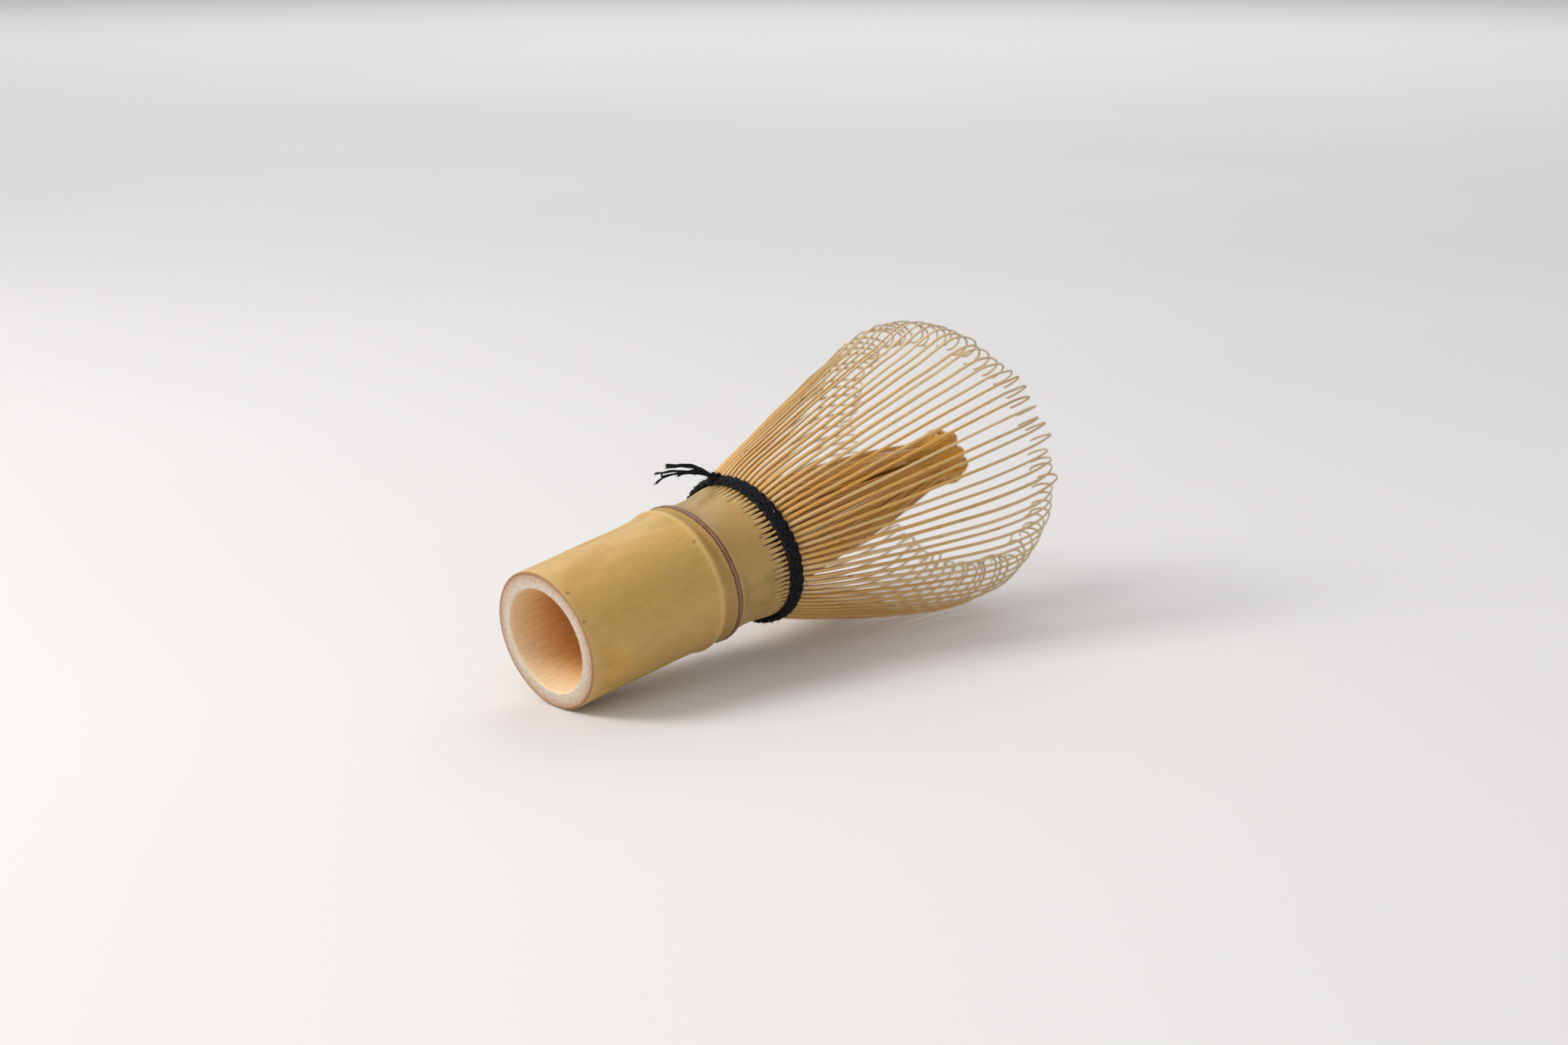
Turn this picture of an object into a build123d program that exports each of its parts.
from build123d import *
import math
import os

# A bamboo tea whisk cut from one culm, with tines split out of its wall and bound by thread.
# It lies on its side along X, sawn end towards -X: the sawn rim and the bulge of the tines
# rest on z = 0, and y = 0 is its middle plane.
# A station is a distance along the culm's axis from the sawn end; radii are measured from
# that axis, and angles in degrees from the top towards +Y. Lengths are in mm.

os.makedirs("parts", exist_ok=True)

# ---------------------------------------------------------------- culm dimensions
HANDLE_R = 13.0             # outer radius at the sawn end
RIM_CHAMFER = 0.45
BORE_R = 9.75               # hollow below the node
SEPTUM_START = 31.4         # the node's partition closes the hollow between these stations
SEPTUM_END = 33.8
SEPTUM_CORNER_R = 1.0       # rounding between the partition and the head bore
HEAD_BORE_R = 10.30         # hollow above the node
COMB_START = 43.9           # the splits of the comb start here
COMB_END = 47.15            # the solid culm hands over to the free tines
COMB_R = 13.58              # outer radius at the end of the comb
SPLIT_W = 0.24
SPLIT_OVERHANG = 0.8        # each split cuts this far past both faces of the wall
CUT_OVERSHOOT = 0.5         # splits and layer gap run this far past the end of the comb
LAYER_GAP_START = 45.0      # groove parting the wall into an inner and an outer layer
LAYER_GAP_INNER_R = 11.82
LAYER_GAP_OUTER_R = 12.62

# Outside of the culm: (station, radius)
CULM_OUTLINE = [
    (RIM_CHAMFER, HANDLE_R), (4, 12.95), (10, 13.04), (16, 13.12), (22, 13.10),
    (26, 13.20), (29.2, 13.46), (31.2, 13.78), (32.5, 13.66),
    (34.1, 14.12),          # crest of the node ring
    (35.0, 13.86), (36.5, 13.10),
    (38.9, 12.80),          # waist of the neck
    (41.4, 12.84), (44.2, 13.16), (COMB_END, COMB_R),
]

# ---------------------------------------------------------------- tine dimensions
OUTER_COUNT = 80
OUTER_GROUPS = 16
OUTER_W = 0.62
INNER_COUNT = 80
INNER_GROUPS = 8
INNER_W = 0.38
TINE_START = 47.30          # free tines start here, inside the thread

# Middle lines of the tines: (station, radius, thickness)
OUTER_LINE = [
    (TINE_START, 13.15, 0.85), (48.30, 13.27, 0.82), (49.35, 13.85, 0.78),
    (52.0, 15.40, 0.70), (55.0, 16.45, 0.65), (59.0, 17.80, 0.60),
    (66.3, 20.30, 0.52), (73.6, 22.92, 0.46), (81.0, 25.20, 0.42),
    (88.0, 27.22, 0.39), (93.0, 28.22, 0.38), (98.0, 28.76, 0.36),
    (102.0, 28.75, 0.35), (104.6, 28.25, 0.34), (106.7, 27.30, 0.34),
    (107.9, 26.30, 0.33), (108.2, 25.35, 0.33), (107.6, 24.60, 0.32),
    (106.4, 24.25, 0.32), (105.2, 24.42, 0.31), (104.4, 24.95, 0.30),
]
BULGE = OUTER_LINE[9:15]    # the stretch around the widest radius
# The inner tines alternate between two layers, so that they can gather into the core.
INNER_LINE_FAR = [
    (TINE_START, 11.15, 1.00), (50.5, 10.95, 0.85), (55.0, 10.45, 0.70),
    (63.0, 9.60, 0.52), (70.5, 8.76, 0.44), (78.0, 8.10, 0.40),
    (85.0, 7.28, 0.38), (92.0, 6.05, 0.38), (98.5, 4.86, 0.38),
    (102.8, 4.86, 0.38), (106.6, 4.90, 0.38),
]
INNER_LINE_NEAR = [         # the layer closer to the axis
    (TINE_START, 11.15, 1.00), (50.5, 10.80, 0.85), (55.0, 10.15, 0.70),
    (63.0, 9.00, 0.50), (70.5, 8.00, 0.42), (78.0, 7.30, 0.38),
    (85.0, 6.48, 0.36), (92.0, 5.33, 0.36), (98.5, 4.18, 0.36),
    (102.8, 4.10, 0.36), (106.2, 4.14, 0.36),
]

# ---------------------------------------------------------------- thread dimensions
CORD_R = 0.52
CORD_RING_R = 14.32         # centre radius of the two turns outside the tines
# Turns: (name, station, ring radius, cord radius). The inner one runs between the outer
# and the inner tines.
THREAD_TURNS = [
    ("thread_turn_lower", 47.26, CORD_RING_R, CORD_R),
    ("thread_turn_upper", 48.32, CORD_RING_R, CORD_R),
    ("thread_turn_inner", 48.05, 12.22, 0.31),
]
KNOT_ANGLE = 14.0
KNOT_STATION = 47.8
KNOT_LIFT = 0.62            # centre of the knot above the outside of the turns
KNOT_HALF_LENGTH = 1.45     # along the axis
KNOT_HALF_WIDTH = 1.15
KNOT_THICKNESS = 1.0
KNOT_ROUNDING = 0.45
STRAND_R = 0.26
# Loose ends: (angle from the knot, [(station, radius) ...])
TAIL_STRANDS = [
    (-4.8, [(46.2, 16.05), (44.2, 17.9), (41.6, 19.4), (39.0, 20.2), (36.4, 20.5)]),
    (-1.6, [(46.2, 16.15), (44.2, 17.6), (41.4, 18.9), (38.2, 19.5), (34.9, 19.6)]),
    (1.6, [(46.2, 16.05), (44.2, 17.2), (41.6, 18.2), (38.8, 18.6), (35.8, 18.4)]),
    (4.8, [(46.2, 15.95), (44.2, 17.7), (41.8, 19.2), (39.0, 20.2), (35.6, 20.4)]),
]

# ---------------------------------------------------------------- resting pose
ORIGIN_X = -54.502          # puts the middle of the overall length on x = 0
FLOOR_CLEARANCE = 0.003
BULGE_STEPS = 8             # samples along each segment of the bulge


def bulge_height(tilt):
    """Height of the bulge's lowest point when the sawn rim touches z = 0."""
    # Two outer tines straddle the lowest line, half a pitch to each side of it.
    half_pitch = math.radians(180.0 / OUTER_COUNT)
    heights = []
    for (s0, r0, t0), (s1, r1, t1) in zip(BULGE, BULGE[1:]):
        for step in range(BULGE_STEPS + 1):
            part = step / BULGE_STEPS
            station = s0 + (s1 - s0) * part
            outer_r = r0 + (r1 - r0) * part + (t0 + (t1 - t0) * part) / 2
            reach = outer_r * math.cos(half_pitch) + OUTER_W / 2 * math.sin(half_pitch)
            heights.append((HANDLE_R - reach) * math.cos(tilt) + station * math.sin(tilt))
    return min(heights)


def resting_tilt():
    """Angle of the axis above the floor, found by bisection."""
    low, high = math.radians(4.0), math.radians(14.0)
    for _ in range(60):
        middle = (low + high) / 2
        if bulge_height(middle) < 0.0:
            low = middle
        else:
            high = middle
    return high


TILT = resting_tilt()
AXIS = Vector(math.cos(TILT), 0, math.sin(TILT))
UPWARD = Vector(-math.sin(TILT), 0, math.cos(TILT))
SIDE = Vector(0, 1, 0)
ORIGIN = Vector(ORIGIN_X, 0, HANDLE_R * math.cos(TILT) + FLOOR_CLEARANCE)
WHISK_AXIS = Axis((ORIGIN.X, ORIGIN.Y, ORIGIN.Z), (AXIS.X, AXIS.Y, AXIS.Z))


# ---------------------------------------------------------------- helpers
def radial(angle):
    """Unit vector pointing out from the axis."""
    turn = math.radians(angle)
    return UPWARD * math.cos(turn) + SIDE * math.sin(turn)


def at(station, radius, angle):
    return ORIGIN + AXIS * station + radial(angle) * radius


def side_plane(angle):
    """Plane through the axis: x is the station, y is the radius."""
    return Plane(origin=ORIGIN, x_dir=AXIS, z_dir=AXIS.cross(radial(angle)))


def cross_plane(station):
    """Plane across the axis: x is the side direction, y points up."""
    return Plane(origin=ORIGIN + AXIS * station, x_dir=SIDE, z_dir=AXIS)


def tine_edges(line):
    """The outer and inner edge of a tine, half its thickness off the middle line."""
    outer, inner = [], []
    for i, (station, radius, thickness) in enumerate(line):
        before = line[max(i - 1, 0)]
        after = line[min(i + 1, len(line) - 1)]
        run, rise = after[0] - before[0], after[1] - before[1]
        scale = thickness / 2 / math.hypot(run, rise)
        shift_s, shift_r = -rise * scale, run * scale
        outer.append((station + shift_s, radius + shift_r))
        inner.append((station - shift_s, radius - shift_r))
    return outer, inner


def draw_tine(edges):
    """Closed outline in the active BuildLine; each edge is a run of three-point arcs."""
    outer, inner = edges
    for edge in edges:
        for i in range(0, len(edge) - 2, 2):
            ThreePointArc(edge[i], edge[i + 1], edge[i + 2])
    Line(outer[0], inner[0])
    Line(outer[-1], inner[-1])


def save(part, name):
    part.label = name
    export_step(part, f"parts/{name}.step")


# ---------------------------------------------------------------- pieces
def build_culm():
    """Handle, node, neck and comb."""
    with BuildPart() as culm:
        with BuildSketch(side_plane(0)):
            with BuildLine():
                outline = Spline(*CULM_OUTLINE)
                corner_start = (SEPTUM_END + SEPTUM_CORNER_R, HEAD_BORE_R)
                corner_end = (SEPTUM_END, HEAD_BORE_R - SEPTUM_CORNER_R)
                Line(outline @ 1, (COMB_END, HEAD_BORE_R))
                Line((COMB_END, HEAD_BORE_R), corner_start)
                RadiusArc(corner_start, corner_end, SEPTUM_CORNER_R)
                Line(corner_end, (SEPTUM_END, 0))
                Line((SEPTUM_END, 0), (SEPTUM_START, 0))
                Line((SEPTUM_START, 0), (SEPTUM_START, BORE_R))
                Line((SEPTUM_START, BORE_R), (0, BORE_R))
                Line((0, BORE_R), (0, HANDLE_R - RIM_CHAMFER))
                Line((0, HANDLE_R - RIM_CHAMFER), outline @ 0)
            make_face()
        revolve(axis=WHISK_AXIS)
        # groove between the two layers of the comb
        with BuildSketch(cross_plane(LAYER_GAP_START)):
            Circle(LAYER_GAP_OUTER_R)
            Circle(LAYER_GAP_INNER_R, mode=Mode.SUBTRACT)
        extrude(amount=COMB_END - LAYER_GAP_START + CUT_OVERSHOOT, mode=Mode.SUBTRACT)
        # splits, one between each two neighbouring tines
        with BuildSketch(cross_plane(COMB_START)):
            with PolarLocations((HEAD_BORE_R + COMB_R) / 2, OUTER_COUNT):
                Rectangle(COMB_R - HEAD_BORE_R + 2 * SPLIT_OVERHANG, SPLIT_W)
        extrude(amount=COMB_END - COMB_START + CUT_OVERSHOOT, mode=Mode.SUBTRACT)
    return culm.part


def build_tine_group(group, count, group_count, width, shapes):
    """One group of neighbouring tines, taking the given shapes in turn."""
    per_group = count // group_count
    with BuildPart() as tines:
        for k in range(per_group):
            angle = (group * per_group + k + 0.5) * 360.0 / count
            with BuildSketch(side_plane(angle)):
                with BuildLine():
                    draw_tine(shapes[k % len(shapes)])
                make_face()
        extrude(amount=width / 2, both=True)
    return tines.part


def save_tines(name, count, group_count, width, lines):
    shapes = [tine_edges(line) for line in lines]
    for group in range(group_count):
        part = build_tine_group(group, count, group_count, width, shapes)
        save(part, f"{name}_{group + 1:02d}")


def build_thread_turn(station, ring_r, cord_r):
    """A round cord closed on itself."""
    with BuildPart() as turn:
        with BuildSketch(side_plane(0)):
            with Locations((station, ring_r)):
                Circle(cord_r)
        revolve(axis=WHISK_AXIS)
    return turn.part


def build_knot():
    """A rounded oval pad standing over the outer turns."""
    centre = at(KNOT_STATION, CORD_RING_R + CORD_R + KNOT_LIFT, KNOT_ANGLE)
    plane = Plane(origin=centre, x_dir=AXIS, z_dir=radial(KNOT_ANGLE))
    with BuildPart() as knot:
        with BuildSketch(plane.offset(-KNOT_THICKNESS / 2)):
            Ellipse(KNOT_HALF_LENGTH, KNOT_HALF_WIDTH)
        extrude(amount=KNOT_THICKNESS)
        fillet(knot.edges(), KNOT_ROUNDING)
    return knot.part


def build_tail():
    """Four loose ends that arch back over the neck towards the handle."""
    with BuildPart() as tail:
        for offset_angle, points in TAIL_STRANDS:
            angle = KNOT_ANGLE + offset_angle
            with BuildLine() as path:
                Spline(*[at(station, radius, angle) for station, radius in points])
            with BuildSketch(Plane(origin=path.line @ 0, z_dir=path.line % 0)):
                Circle(STRAND_R)
            sweep(path=path.line)
    return tail.part


save(build_culm(), "culm")
save_tines("outer_tines", OUTER_COUNT, OUTER_GROUPS, OUTER_W, [OUTER_LINE])
save_tines("inner_tines", INNER_COUNT, INNER_GROUPS, INNER_W, [INNER_LINE_NEAR, INNER_LINE_FAR])
for turn_name, *turn_sizes in THREAD_TURNS:
    save(build_thread_turn(*turn_sizes), turn_name)
save(build_knot(), "thread_knot")
save(build_tail(), "thread_tail")
